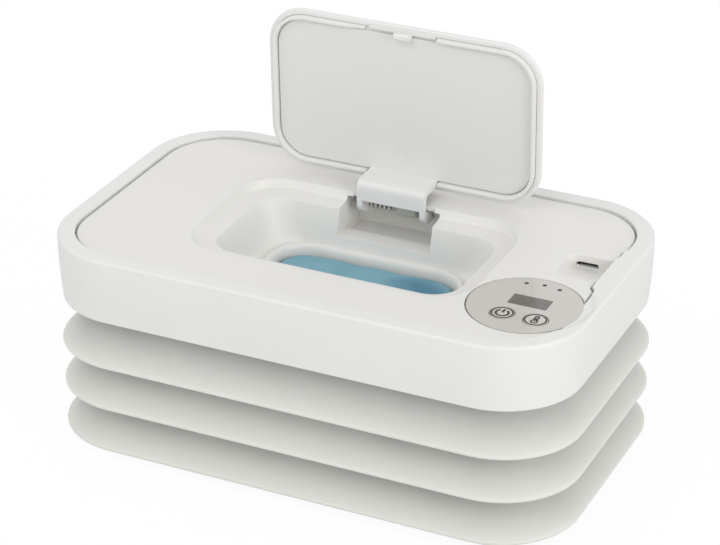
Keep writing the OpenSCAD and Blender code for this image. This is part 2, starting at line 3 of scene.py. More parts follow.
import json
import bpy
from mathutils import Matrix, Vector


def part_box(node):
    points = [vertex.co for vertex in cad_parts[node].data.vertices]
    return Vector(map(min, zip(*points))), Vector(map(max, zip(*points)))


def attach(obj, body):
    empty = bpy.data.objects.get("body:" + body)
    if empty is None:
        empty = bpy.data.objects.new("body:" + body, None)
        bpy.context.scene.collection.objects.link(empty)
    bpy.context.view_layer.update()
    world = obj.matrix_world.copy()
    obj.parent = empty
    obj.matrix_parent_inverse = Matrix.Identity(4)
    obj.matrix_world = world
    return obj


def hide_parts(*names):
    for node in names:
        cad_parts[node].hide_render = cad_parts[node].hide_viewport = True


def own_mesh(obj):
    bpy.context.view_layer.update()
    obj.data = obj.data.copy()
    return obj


bl_info = {
    "name": "Wipe Warmer",
    "version": (1, 0, 0),
    "blender": (4, 5, 0),
    "location": "View3D > Sidebar > Warmer",
    "description": "Builds the shell, deck, lid, bellows, controls and finishes of a wipe warmer",
    "category": "Object",
}

from contextlib import contextmanager
from math import cos, hypot, pi, radians, sin

import bmesh
import bpy
from bpy.types import Operator, Panel, PropertyGroup
from mathutils import Vector

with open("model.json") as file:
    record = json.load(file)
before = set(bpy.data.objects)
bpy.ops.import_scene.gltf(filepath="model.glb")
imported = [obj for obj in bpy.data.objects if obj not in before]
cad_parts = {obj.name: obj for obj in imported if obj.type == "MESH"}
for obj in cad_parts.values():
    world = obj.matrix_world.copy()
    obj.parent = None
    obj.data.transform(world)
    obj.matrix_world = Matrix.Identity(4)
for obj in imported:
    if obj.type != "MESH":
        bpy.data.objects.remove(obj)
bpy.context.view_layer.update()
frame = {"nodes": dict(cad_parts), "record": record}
MM = 0.001


def size_mm(node):
    """A node's lowest and highest corners in millimetres."""
    low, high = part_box(node)
    return [c / MM for c in low], [c / MM for c in high]


# ---- plan, in millimetres

RIM_LOW, RIM_HIGH = size_mm("rim_frame")
BODY_W = RIM_HIGH[0] - RIM_LOW[0]
BODY_D = RIM_HIGH[1] - RIM_LOW[1]
RIM_Z, TOP_Z = RIM_LOW[2], RIM_HIGH[2]
DECK_Z = TOP_Z - 1
CORNER_R = 33
RIM_EDGE = 6.9
RIM_GAP = 0.95
BASE_TOP = size_mm("base_plate")[1][2]
BELLOWS_TOP = size_mm("bellows")[1][2]
FOLDS = 3
LIP_Z = BASE_TOP + 1.1
FOLD_H = (RIM_Z - 0.8 - LIP_Z) / FOLDS
FOLD_IN = 9
SKIN = 1.5
SOFT_RUNS = (8, 5)
PACK_RUNS = (30, 16)
SEAT = (120.3, 70.9, 17.2, 0.8, -2.7)
WELL = (104.3, 53.5, 12.3, 0.8, -2.3)
THROAT = (77.5, 44, 12, 0.8, -3.5)
WELL_TOP = TOP_Z - 5.3
WELL_Z = TOP_Z - 22.8
THROAT_LOW = TOP_Z - 32.1
LID = (118.8, 69.4, 16.45)
LID_T = 2.2
RIB_IN, RIB_HALF, RIB_H = 2.4, 0.75, 2.1
HOOK = (1.8, 3.7, 6.6)
GATE = (-1.0, -18.2, 4.3)
LID_OPEN = radians(88)
ARMS = size_mm("hinge_bracket")
BRACKET_W = ARMS[1][0] - ARMS[0][0]
PIN = ((ARMS[0][0] + ARMS[1][0]) / 2, 39.8, TOP_Z - 6.8)
BORE_R = 1.55
SLOT = (-18.7, 22.2, 21.2, 44.4)
SLOT_Z, SLOT_LOW = PIN[2] - 9.7, PIN[2] - 11.9
PANEL = (83.1, -28.9)
PANEL_R = 22
SCOOP_SHIFT = (0.6, 2.2)
PANEL_TOP = DECK_Z + 0.1
KEYS = ((77.9, -38.5), (91.1, -38.5))
KEY_R = 4.7
LEDS = ((77.3, -12.6), (84.1, -11.4), (90.6, -12.6))
WINDOW = (84.1, -26.1, 15.5, 8.2)
PORT = (82.5, 103.5, -1, 19.2, 5.6)
PLUG = (90, DECK_Z - 4.1, 8.94, 3.26, 1.9)
PRINT = 0.03
FOOT_R = 7.0
FLOOR_HALF = 6000
POSTS = ((-80, 39), (-80, -39), (80, 39), (56.1, -42.9))


# ---- settings


def length_property(label, text, value, low, high):
    """A length a user may change."""
    return bpy.props.FloatProperty(name=label, description=text, default=value, min=low, max=high,
                                   unit="LENGTH", subtype="DISTANCE")


def colour_property(label, text, value):
    """A colour a user may change."""
    return bpy.props.FloatVectorProperty(name=label, description=text, default=value, size=4,
                                         min=0.0, max=1.0, subtype="COLOR")


class WarmerShell(PropertyGroup):
    """Edges and gaps of the rigid head."""

    edge_round: length_property("Top edge", "Rounding of the rim's outer top edge", 0.0014, 0.001, 0.004)
    seat_round: length_property("Seat edge", "Rounding of the edge round the lid seat", 0.00035, 0.0002, 0.001)
    inlet_step: length_property("Inlet step", "How far the rim widens by the power inlet", 0.0019, 0.0, 0.0035)
    scoop_r: length_property("Scoop", "Radius of the scoop that frees the control cover", 0.0254, 0.024, 0.028)


class WarmerTub(PropertyGroup):
    """Soft tub and what stands in it."""

    lip_round: length_property("Fold edge", "Rounding of a fold's outer edge", 0.0008, 0.0003, 0.001)
    pack_top: length_property("Pack height", "Top of the wipes pack in the throat", 0.0662, 0.058, 0.067)


class WarmerControls(PropertyGroup):
    """Printed marks on the control cover."""

    line: length_property("Line", "Width of a printed line", 0.00078, 0.0002, 0.001)
    sign_r: length_property("Sign", "Radius of the power sign", 0.0024, 0.0015, 0.003)


class WarmerFinish(PropertyGroup):
    """Colours of the main finishes."""

    shell: colour_property("Shell", "Moulded plastic of rim and lid", (0.78, 0.775, 0.76, 1))
    deck: colour_property("Deck", "Moulded plastic of the deck and well", (0.77, 0.76, 0.73, 1))
    tub: colour_property("Tub", "Soft silicone of the folds", (0.73, 0.725, 0.685, 1))
    cover: colour_property("Cover", "Gloss control cover", (0.545, 0.53, 0.49, 1))
    film: colour_property("Film", "Film of the wipes pack", (0.2, 0.4, 0.49, 1))
    mark: colour_property("Marks", "Printed lines and signs", (0.05, 0.045, 0.038, 1))


class WarmerStage(PropertyGroup):
    """Studio round the object."""

    sky: bpy.props.FloatProperty(
        name="Sky", description="Even light from all round", default=0.75, min=0.0, max=1.5)
    lamp: bpy.props.FloatProperty(
        name="Lamp", description="Power of the large front lamp in watts", default=4.4, min=0.0, max=200.0)


SETTINGS = {"warmer_shell": WarmerShell, "warmer_tub": WarmerTub, "warmer_controls": WarmerControls,
            "warmer_finish": WarmerFinish, "warmer_stage": WarmerStage}


# ---- node writing


class Val:
    """A socket of a node tree; + - * add Math nodes."""

    def __init__(self, nodes, socket):
        self.nodes, self.socket = nodes, socket

    def math(self, operation, *values):
        return self.nodes.node("ShaderNodeMath", dict(enumerate(values)), operation=operation)

    def __add__(self, other): return self.math("ADD", self, other)
    def __radd__(self, other): return self.math("ADD", other, self)
    def __sub__(self, other): return self.math("SUBTRACT", self, other)
    def __mul__(self, other): return self.math("MULTIPLY", self, other)
    def __rmul__(self, other): return self.math("MULTIPLY", other, self)


class Nodes:
    """Writes nodes into a tree; a kind without its family's name takes the tree's own."""

    family = "ShaderNode"

    def __init__(self, tree):
        self.tree = tree
        tree.nodes.clear()

    def node(self, kind, inputs=None, out=0, stops=(), **settings):
        made = self.tree.nodes.new(kind if "Node" in kind else self.family + kind)
        for key, value in settings.items():
            setattr(made, key, value)
        for k, (place, colour) in enumerate(stops):
            made.color_ramp.elements[k].position, made.color_ramp.elements[k].color = place, colour
        for key, value in (inputs or {}).items():
            if isinstance(value, Val):
                self.tree.links.new(value.socket, made.inputs[key])
            else:
                made.inputs[key].default_value = value
        return Val(self, made.outputs[out]) if made.outputs else None


class Finish(Nodes):
    """One node material."""

    def __init__(self, name):
        self.material = bpy.data.materials.new(name)
        self.material.use_nodes = True
        super().__init__(self.material.node_tree)

    def place(self):
        return self.node("TexCoord", out="Object")

    def noise(self, scale, detail=2.0, **more):
        inputs = {"Vector": self.place(), "Scale": scale, "Detail": detail, **more}
        return self.node("TexNoise", inputs)

    def mix(self, share, first, second):
        return self.node("Mix", {0: share, 6: first, 7: second}, out=2, data_type="RGBA")

    def ramp(self, value, low, high):
        stops = ((low, (0, 0, 0, 1)), (high, (1, 1, 1, 1)))
        return self.node("ValToRGB", {"Fac": value}, stops=stops)

    def bump(self, height, depth, strength=1.0):
        return self.node("Bump", {"Height": height, "Distance": depth, "Strength": strength})

    def close(self, **inputs):
        named = {key.replace("_", " "): value for key, value in inputs.items()}
        shader = self.node("BsdfPrincipled", named)
        self.node("OutputMaterial", {"Surface": shader})
        return self.material


def shade(colour, factor):
    """A colour made lighter or darker."""
    return tuple(min(1.0, c * factor) for c in colour[:3]) + (1.0,)


def moulded(name, colour, rough=0.42, cloud=34.0, grain=1900.0, depth=0.00002, **more):
    """Moulded plastic: faint flow clouds, a fine spark-eroded grain."""
    f = Finish(name)
    flow = f.noise(cloud, 3.0)
    fine = f.noise(grain, 2.0)
    tone = f.mix(flow, shade(colour, 0.975), shade(colour, 1.02))
    return f.close(Base_Color=tone, Roughness=rough - 0.05 + flow * 0.1,
                   Normal=f.bump(fine, depth, 0.35), **more)


def silicone(name, colour):
    """Soft satin silicone: a faint mottle, and painted shade that darkens it in the valleys between the ridges.
    """
    f = Finish(name)
    mottle = f.noise(70.0, 4.0)
    pore = f.noise(900.0, 3.0)
    deep = f.node("Attribute", out="Fac", attribute_name="deep")
    ridge = f.mix(mottle, shade(colour, 0.97), shade(colour, 1.03))
    # painted shade: the valley value blends the colour towards 0.55 of itself between the ridges, where shade
    # falls
    tone = f.mix(deep * (0.85 + mottle * 0.3), ridge, shade(colour, 0.55))
    return f.close(Base_Color=tone, Roughness=0.5 + mottle * 0.12,
                   Normal=f.bump(pore + mottle * 3.0, 0.00004, 0.5), Subsurface_Weight=0.08,
                   Subsurface_Radius=(0.004, 0.004, 0.0035), Subsurface_Scale=1.0)


def metal(name, colour, rough=0.32, brushed=(400.0, 14.0, 14.0)):
    """Brushed or drawn metal."""
    f = Finish(name)
    along = f.node("Mapping", {"Vector": f.place(), "Scale": brushed})
    lines = f.node("TexNoise", {"Vector": along, "Scale": 12.0, "Detail": 4.0})
    tone = f.mix(lines, shade(colour, 0.88), shade(colour, 1.06))
    return f.close(Base_Color=tone, Metallic=1.0, Roughness=rough + (lines - 0.5) * 0.2,
                   Normal=f.bump(lines, 0.00001, 0.3))


def speckled(name, dark, light, scale, rough, bump_depth=0.00004):
    """Rubber, foam or board: two tones in fine specks."""
    f = Finish(name)
    speck = f.noise(scale, 5.0)
    tone = f.mix(f.ramp(speck, 0.38, 0.62), dark, light)
    return f.close(Base_Color=tone, Roughness=rough + (speck - 0.5) * 0.15,
                   Normal=f.bump(speck, bump_depth, 0.6))


def pack_film(name, colour):
    """Thin printed film: a plain tint with soft darker patches and fine creases."""
    f = Finish(name)
    crease = f.noise(60.0, 3.0, Distortion=1.2)
    patch = f.noise(38.0, 1.5)
    mask = f.ramp(patch, 0.48, 0.68)
    tone = f.mix(crease, shade(colour, 0.9), shade(colour, 1.12))
    dark = (colour[0] * 0.42, colour[1] * 0.58, colour[2] * 0.68, 1)
    return f.close(Base_Color=f.mix(mask, tone, dark), Roughness=0.5 + crease * 0.12,
                   Normal=f.bump(crease, 0.0006, 0.5), Specular_IOR_Level=0.3)


def build_finishes(context):
    """All finishes, by short name."""
    c = context.scene.warmer_finish
    shell, deck, tub, cover, film, mark = (tuple(v) for v in (c.shell, c.deck, c.tub, c.cover, c.film, c.mark))
    return {
        "shell": moulded("shell plastic", shell),
        "deck": moulded("deck plastic", deck, rough=0.46, cloud=28.0),
        "panel": moulded("lid lining plastic", shade(shell, 0.955), rough=0.5),
        "inner": moulded("inner plastic", shade(deck, 0.97), rough=0.5),
        "tub": silicone("tub silicone", tub),
        "cover": moulded("control cover", cover, rough=0.1, grain=500.0, depth=0.000004, Coat_Weight=0.5),
        "key": moulded("key gloss", shade(cover, 1.04), rough=0.2, grain=500.0, depth=0.000004,
                       Coat_Weight=0.4),
        "mark": moulded("printed mark", mark, rough=0.5, cloud=300.0),
        "window": moulded("smoked window", (0.095, 0.087, 0.068, 1), rough=0.12, cloud=120.0, grain=600.0,
                          depth=0.000003, Coat_Weight=0.6),
        "film": pack_film("pack film", film),
        "dark": moulded("dark plastic", (0.028, 0.028, 0.03, 1), rough=0.45),
        "button": moulded("button plastic", (0.3, 0.3, 0.31, 1), rough=0.5),
        "plug": moulded("plug nylon", (0.78, 0.76, 0.68, 1), rough=0.5),
        "lens": moulded("clear lens", (0.74, 0.74, 0.66, 1), rough=0.15),
        "sleeve": moulded("damper sleeve", (0.52, 0.515, 0.48, 1), rough=0.3, cloud=160.0, Coat_Weight=0.3),
        "foot": speckled("foot rubber", (0.035, 0.034, 0.034, 1), (0.062, 0.061, 0.06, 1), 900.0, 0.78),
        "foam": speckled("needled felt", (0.2, 0.21, 0.22, 1), (0.42, 0.43, 0.45, 1), 1400.0, 0.95, 0.0003),
        "board": speckled("board laminate", (0.018, 0.12, 0.05, 1), (0.035, 0.19, 0.085, 1), 500.0, 0.38,
                          0.00001),
        "lead": speckled("lead sleeve", (0.34, 0.04, 0.03, 1), (0.44, 0.06, 0.045, 1), 400.0, 0.5, 0.00001),
        "steel": metal("zinc steel", (0.58, 0.585, 0.6, 1)),
        "wire": moulded("spring wire", (0.66, 0.65, 0.62, 1), rough=0.5, cloud=200.0),
        "alu": metal("rolled aluminium", (0.74, 0.75, 0.77, 1), 0.3),
        "brass": metal("fuse brass", (0.6, 0.46, 0.22, 1), 0.3),
        "amber": moulded("heater film", (0.52, 0.2, 0.035, 1), rough=0.25, cloud=60.0, Coat_Weight=0.3),
    }


FINISH = {}
SLOT_FINISH = {
    "white_plastic": "inner", "deck_plastic": "deck", "soft_silicone": "tub", "foot_rubber": "foot",
    "steel": "steel", "aluminium": "alu", "film_polyimide": "amber", "pad_foam": "foam",
    "dark_plastic": "dark", "board": "board", "plug_plastic": "plug", "fuse_brass": "brass",
    "lead_red": "lead", "window": "window", "cover_plastic": "cover", "key_plastic": "key",
    "damper_plastic": "sleeve", "button_plastic": "button", "led": "lens"}


# ---- mesh making


CORNERS = ((1, 1), (-1, 1), (-1, -1), (1, -1))


def quarter(cx, cy, z, r, k, arc):
    """Points on the quarter circle k about a centre."""
    turns = [radians(90 * k + 90 * i / arc) for i in range(arc + 1)]
    return [(cx + r * cos(a), cy + r * sin(a), z) for a in turns]


def rounded_ring(w, d, r, x=0.0, y=0.0, z=0.0, arc=12, runs=(36, 46)):
    """Points round a rounded rectangle, anticlockwise from +X, with points on its straight runs too."""
    points = []
    for k, (sx, sy) in enumerate(CORNERS):
        points += quarter(x + sx * (w / 2 - r), y + sy * (d / 2 - r), z, r, k, arc)
        a = radians(90 * k + 90)
        start, length, count = points[-1], (d if k % 2 else w) - 2 * r, runs[k % 2]
        for i in range(1, count):
            t = length * i / count
            points.append((start[0] - sin(a) * t, start[1] + cos(a) * t, z))
    return points


def plan_ring(x0, x1, y0, y1, z, radii, arc=8):
    """A rectangle with its own radius at each corner, from the back right one round to the left."""
    points = []
    for k, ((sx, sy), r) in enumerate(zip(CORNERS, radii)):
        points += quarter((x1 if sx > 0 else x0) - sx * r, (y1 if sy > 0 else y0) - sy * r, z, r, k, arc)
    return points


def offset_ring(shape, inset, z, **more):
    """The rounded rectangle shape, drawn in by inset."""
    w, d, r, x, y = shape
    w, d = w - 2 * inset, d - 2 * inset
    return rounded_ring(w, d, min(max(r - inset, 0.4), w * 0.499, d * 0.499), x, y, z, **more)


def inset_rings(shape, path, z0=0.0, grow=0.0, **more):
    """Rings of a shape along an (inset, z) path, which counts from grow and z0."""
    return [offset_ring(shape, i - grow, z0 + z, **more) for i, z in path]


def smooth_step(v, low, high):
    """Eases from 0 at low to 1 at high."""
    t = min(1.0, max(0.0, (v - low) / (high - low)))
    return t * t * (3 - 2 * t)


def body_ring(inset, z, step=0.0, **more):
    """Ring of the head's outline; step widens the rim beside the power inlet."""
    points = offset_ring((BODY_W, BODY_D, CORNER_R, 0, 0), inset, z, **more)
    if step:
        def widening(y):
            ends = smooth_step(y, 19.6, 21.6), smooth_step(y, 27, 29)
            return step * smooth_step(y, -8.5, -6) * (1 - 0.5 * ends[0] - 0.5 * ends[1])

        points = [(x - widening(y) if x > 90 else x, y, z) for x, y, z in points]
    return points


def inset_at(spot):
    """How far inside the head's outline a point lies, in millimetres."""
    x, y = abs(spot.x) / MM, abs(spot.y) / MM
    cx, cy = x - (BODY_W / 2 - CORNER_R), y - (BODY_D / 2 - CORNER_R)
    if cx > 0 and cy > 0:
        return CORNER_R - hypot(cx, cy)
    return CORNER_R - max(cx, cy)


def loft(rings, loop=False):
    """Points and faces through rings of equal count."""
    n, m = len(rings[0]), len(rings)
    faces = []
    for k in range(m if loop else m - 1):
        a, b = k * n, ((k + 1) % m) * n
        faces += [(a + i, a + (i + 1) % n, b + (i + 1) % n, b + i) for i in range(n)]
    if not loop:
        faces += [tuple(range(n))[::-1], tuple(range((m - 1) * n, m * n))]
    return [p for ring in rings for p in ring], faces


def soften(path, steps=5, closed=False):
    """Rounds an (a, b, radius) path by its radii."""
    out = []
    n = len(path)
    for i, (a, b, r) in enumerate(path):
        here = Vector((a, b))
        if r == 0 or (not closed and i in (0, n - 1)):
            out.append((a, b))
            continue
        before = Vector(path[i - 1][:2]) - here
        after = Vector(path[(i + 1) % n][:2]) - here
        p = here + before.normalized() * min(r, before.length * 0.48)
        q = here + after.normalized() * min(r, after.length * 0.48)
        for k in range(steps + 1):
            t = k / steps
            spot = p * (1 - t) ** 2 + here * 2 * t * (1 - t) + q * t ** 2
            out.append((spot.x, spot.y))
    return out


def turned(profile, x, y, r0=0.0, z0=0.0, segments=72):
    """A solid turned from (radius, z) points, which count from r0 and z0."""
    turns = [2 * pi * i / segments for i in range(segments)]
    return loft([[(x + (r0 + r) * cos(a), y + (r0 + r) * sin(a), z0 + z) for a in turns] for r, z in profile])


def brick(x0, x1, y0, y1, z0, z1, r=0.3, steps=3):
    """A box with rounded upright edges and eased ends."""
    shape = (x1 - x0, y1 - y0, r, (x0 + x1) / 2, (y0 + y1) / 2)
    ease = min(r, 0.25)
    part = ease * 0.3
    levels = ((ease, z0), (part, z0 + part), (0, z0 + ease), (0, z1 - ease), (part, z1 - part), (ease, z1))
    return loft(inset_rings(shape, levels, arc=steps, runs=(1, 1)))


def block(x, y, w, d, z0, z1, r):
    """A brick of width w and depth d about a point."""
    return brick(x - w / 2, x + w / 2, y - d / 2, y + d / 2, z0, z1, r)


def prism(outline, height_low, height_high, axis="z"):
    """A straight solid over a flat outline."""
    order = {"x": (2, 0, 1), "y": (0, 2, 1), "z": (0, 1, 2)}[axis]
    return loft([[tuple((a, b, c)[i] for i in order) for a, b in outline] for c in (height_low, height_high)])


def about_pin(point, angle=-LID_OPEN):
    """Turns a point given about the pin of the shut lid."""
    x, y, z = point
    c, s = cos(angle), sin(angle)
    return (x, PIN[1] + y * c - z * s, PIN[2] + y * s + z * c)


def join(*parts):
    """Several point and face lists as one."""
    points, faces = [], []
    for p, f in parts:
        base = len(points)
        points += p
        faces += [tuple(i + base for i in face) for face in f]
    return points, faces


@contextmanager
def editing(mesh):
    """Opens a mesh for bmesh work and writes it back."""
    work = bmesh.new()
    work.from_mesh(mesh)
    yield work
    work.to_mesh(mesh)
    work.free()


def solid(name, data, place=None):
    """An object in metres from millimetre points, faces turned outwards."""
    name = name.replace(" ", "_")
    points, faces = data
    if place:
        points = [place(p) for p in points]
    mesh = bpy.data.meshes.new(name)
    mesh.from_pydata([(x * MM, y * MM, z * MM) for x, y, z in points], [], faces)
    with editing(mesh) as work:
        bmesh.ops.remove_doubles(work, verts=work.verts, dist=1e-7)
        bmesh.ops.recalc_face_normals(work, faces=work.faces)
        if all(e.is_manifold for e in work.edges) and work.calc_volume(signed=True) < 0:
            bmesh.ops.reverse_faces(work, faces=work.faces)
    mesh.validate()
    obj = bpy.data.objects.new(name, mesh)
    bpy.context.scene.collection.objects.link(obj)
    return obj


def drop(obj):
    """Removes an object with its mesh."""
    mesh = obj.data
    bpy.data.objects.remove(obj)
    bpy.data.meshes.remove(mesh)


def settle(obj):
    """Turns an object's live modifiers into its mesh."""
    mesh = bpy.data.meshes.new_from_object(obj.evaluated_get(bpy.context.evaluated_depsgraph_get()))
    old = obj.data
    obj.modifiers.clear()
    obj.data = mesh
    mesh.name = obj.name
    bpy.data.meshes.remove(old)
    return obj


def combine(obj, tools, operation="DIFFERENCE"):
    """Adds or cuts solids, one after another, and drops the tools."""
    for tool in tools:
        step = obj.modifiers.new("Tool", "BOOLEAN")
        step.operation, step.object, step.solver = operation, tool, "EXACT"
        settle(obj)
        drop(tool)
    with editing(obj.data) as work:
        bmesh.ops.remove_doubles(work, verts=work.verts, dist=2e-6)
        bmesh.ops.dissolve_degenerate(work, edges=work.edges, dist=1e-6)
    return obj


def ease_edges(obj, width, segments=2, angle=40.0):
    """A small bevel on the sharp edges."""
    step = obj.modifiers.new("Ease", "BEVEL")
    step.width, step.segments, step.limit_method = width * MM, segments, "ANGLE"
    step.angle_limit = radians(angle)
    return settle(obj)


def dress(obj, finish, body, nodes=(), angle=32.0, weighted=True):
    """Smooths, finishes and fixes a piece to its body."""
    mesh = obj.data
    mesh.polygons.foreach_set("use_smooth", [True] * len(mesh.polygons))
    mesh.set_sharp_from_angle(angle=radians(angle))
    if weighted:
        step = obj.modifiers.new("Normals", "WEIGHTED_NORMAL")
        step.keep_sharp, step.weight = True, 60
        settle(obj)
        mesh = obj.data
    mesh.materials.clear()
    mesh.materials.append(FINISH[finish])
    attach(obj, body)
    if nodes:
        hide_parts(*nodes)
    return obj


# ---- geometry nodes


class Graph(Nodes):
    """A geometry node tree with named inputs."""

    family = "GeometryNode"

    def __init__(self, name, inputs):
        super().__init__(bpy.data.node_groups.new(name, "GeometryNodeTree"))
        face = self.tree.interface
        face.new_socket("Geometry", in_out="INPUT", socket_type="NodeSocketGeometry")
        for label, kind in inputs:
            face.new_socket(label, in_out="INPUT", socket_type="NodeSocket" + kind)
        face.new_socket("Geometry", in_out="OUTPUT", socket_type="NodeSocketGeometry")
        self.source = self.tree.nodes.new("NodeGroupInput")
        self.end = self.tree.nodes.new("NodeGroupOutput")

    def given(self, label):
        return Val(self, self.source.outputs[label])

    def close(self, geometry):
        whole = self.node("RealizeInstances", {"Geometry": geometry})
        last = self.node("SetMaterial", {"Geometry": whole, "Material": self.given("Finish")})
        self.tree.links.new(last.socket, self.end.inputs["Geometry"])

    def run(self, obj, **values):
        step = obj.modifiers.new("Nodes", "NODES")
        step.node_group = self.tree
        for item in self.tree.interface.items_tree:
            if item.item_type == "SOCKET" and item.in_out == "INPUT" and item.name in values:
                step[item.identifier] = values[item.name]
        return settle(obj)


def stack_graph():
    """Stacks copies of one fold and welds them."""
    g = Graph("Stacked folds", (("Count", "Int"), ("Pitch", "Float"), ("Weld", "Float"),
                                ("Finish", "Material")))
    rise = g.node("ShaderNodeCombineXYZ", {"Z": g.given("Pitch")})
    line = g.node("MeshLine", {"Count": g.given("Count"), "Start Location": (0, 0, 0), "Offset": rise},
                  mode="OFFSET")
    copies = g.node("InstanceOnPoints", {"Points": line, "Instance": g.given("Geometry")})
    whole = g.node("RealizeInstances", {"Geometry": copies})
    welded = g.node("MergeByDistance", {"Geometry": whole, "Distance": g.given("Weld")})
    g.close(welded)
    return g


def copies_graph():
    """Places copies of one piece on points."""
    g = Graph("Copies on points", (("Piece", "Object"), ("Finish", "Material")))
    piece = g.node("ObjectInfo", {"Object": g.given("Piece")}, out="Geometry")
    g.close(g.node("InstanceOnPoints", {"Points": g.given("Geometry"), "Instance": piece}))
    return g


def coil_graph():
    """A wound wire along X."""
    g = Graph("Wound wire", (("Turns", "Float"), ("Radius", "Float"), ("Length", "Float"), ("Wire", "Float"),
                             ("Start", "Vector"), ("Finish", "Material")))
    coil = g.node("CurveSpiral",
                  {"Resolution": 28, "Rotations": g.given("Turns"), "Start Radius": g.given("Radius"),
                   "End Radius": g.given("Radius"), "Height": g.given("Length")})
    section = g.node("CurvePrimitiveCircle", {"Resolution": 10, "Radius": g.given("Wire")})
    wire = g.node("CurveToMesh", {"Curve": coil, "Profile Curve": section, "Fill Caps": True})
    laid = g.node("Transform",
                  {"Geometry": wire, "Translation": g.given("Start"), "Rotation": (0, pi / 2, 0)})
    g.close(laid)
    return g


# ---- operators


class WARMER_OT_finishes(Operator):
    """Make the finishes and give them to the carried-over pieces"""

    bl_idname = "warmer.finishes"
    bl_label = "Finishes"

    def execute(self, context):
        FINISH.update(build_finishes(context))
        slots = {part["node"]: part["material_slot"] for part in frame["record"]["subparts"]}
        for node, obj in frame["nodes"].items():
            material = FINISH[SLOT_FINISH[slots[node]]]
            for spot in obj.material_slots:
                spot.material = material
        return {"FINISHED"}


class WARMER_OT_rim(Operator):
    """Rigid rim with a tapered skirt, a rounded top edge and a scoop beside the control cover"""

    bl_idname = "warmer.rim"
    bl_label = "Rim"

    def execute(self, context):
        s = context.scene.warmer_shell
        step = s.inlet_step / MM
        tray = RIM_Z + 3
        path = soften([(3.6, RIM_Z, 0.3), (1.2, RIM_Z, 0.7), (0.12, RIM_Z + 15, 6),
                       (0, TOP_Z, s.edge_round / MM), (RIM_EDGE, TOP_Z, 0.3), (RIM_EDGE, DECK_Z - 2.3, 0),
                       (10.5, DECK_Z - 2.3, 0), (10.5, DECK_Z - 4.1, 0), (3.6, DECK_Z - 4.1, 0),
                       (3.8, tray + 4, 0), (8.5, tray + 4, 0),
                       (8.5, tray + 2.1, 0), (3.9, tray + 2.1, 0), (4, RIM_Z + 0.4, 0.3)], closed=True)
        rings = [body_ring(i, z, step if 4.5 < i < 7.2 and z > DECK_Z - 3 else 0) for i, z in path]
        rim = solid("rim", loft(rings, loop=True))
        middle = [a + b for a, b in zip(PANEL, SCOOP_SHIFT)]
        scoop = turned([(-1.8, 0), (-1.4, 0.12), (-0.5, 0.85), (0.1, 1.02), (0.1, 4)], *middle,
                       s.scoop_r / MM, DECK_Z, 96)
        well = turned([(0.8, -12), (0.8, -0.5)], *PANEL, PANEL_R, DECK_Z)
        port = solid("port room", brick(80, 101.6, -4.3, 21.6, DECK_Z - 9, DECK_Z - 1.2))
        combine(rim, [solid("scoop", scoop), solid("cover room", well), port])
        dress(rim, "shell", "housing", ["rim_frame"])
        return {"FINISHED"}


def well_wall():
    """Rings of the well wall from its edge to the floor."""
    stops = ((0, 0.15), (0.5, 1.0), (1.8, 4.2), (3.3, 8.4), (4.4, 11.4), (5.2, 13.6), (5.9, 15.1), (6.8, 16.3),
             (7.9, 17.15), (9.2, 17.6), (10.2, 17.7))
    rings = []
    for p, fall in stops:
        rx, ry = p * (WELL[0] - THROAT[0]) / 27, p * (WELL[1] - THROAT[1]) / 27
        rings.append(rounded_ring(WELL[0] - 2 * rx, WELL[1] - 2 * ry, WELL[2], WELL[3],
                                  WELL[4] + (THROAT[4] - WELL[4]) * min(1, p / 7), WELL_TOP - fall))
    return rings


def deck_hollow(grow=0.0, edge=0.6):
    """Rings of the seat, ledge, well and throat, from the deck's top down."""
    brim = [(-edge * k, z) for k, z in ((1.0, 0), (0.45, -0.07), (0.12, -0.25), (0, -edge))]
    brim += [(0.55, -1.7), (1.15, -2.95), (1.45, -3.3), (2.1, -3.46)]
    lip = [(-3.2, -0.15), (-2.85, 0.2), (-2.75, 1.0), (-2.55, 1.45), (-2.15, 1.72), (-1.7, 1.74), (-1.25, 1.5),
           (-0.75, 0.9), (-0.3, 0.0), (-0.05, -1.4), (0, -3), (0, THROAT_LOW - WELL_Z)]
    rings = inset_rings(SEAT, brim, DECK_Z, grow)
    rings += inset_rings(WELL, ((-1.0, 0.1), (-0.4, 0.03), (-0.1, -0.06)), WELL_TOP, grow)
    rings += [[(x, y, z - grow * 0.6) for x, y, z in ring] for ring in well_wall()]
    rings += inset_rings(THROAT, lip, WELL_Z, grow)
    return rings


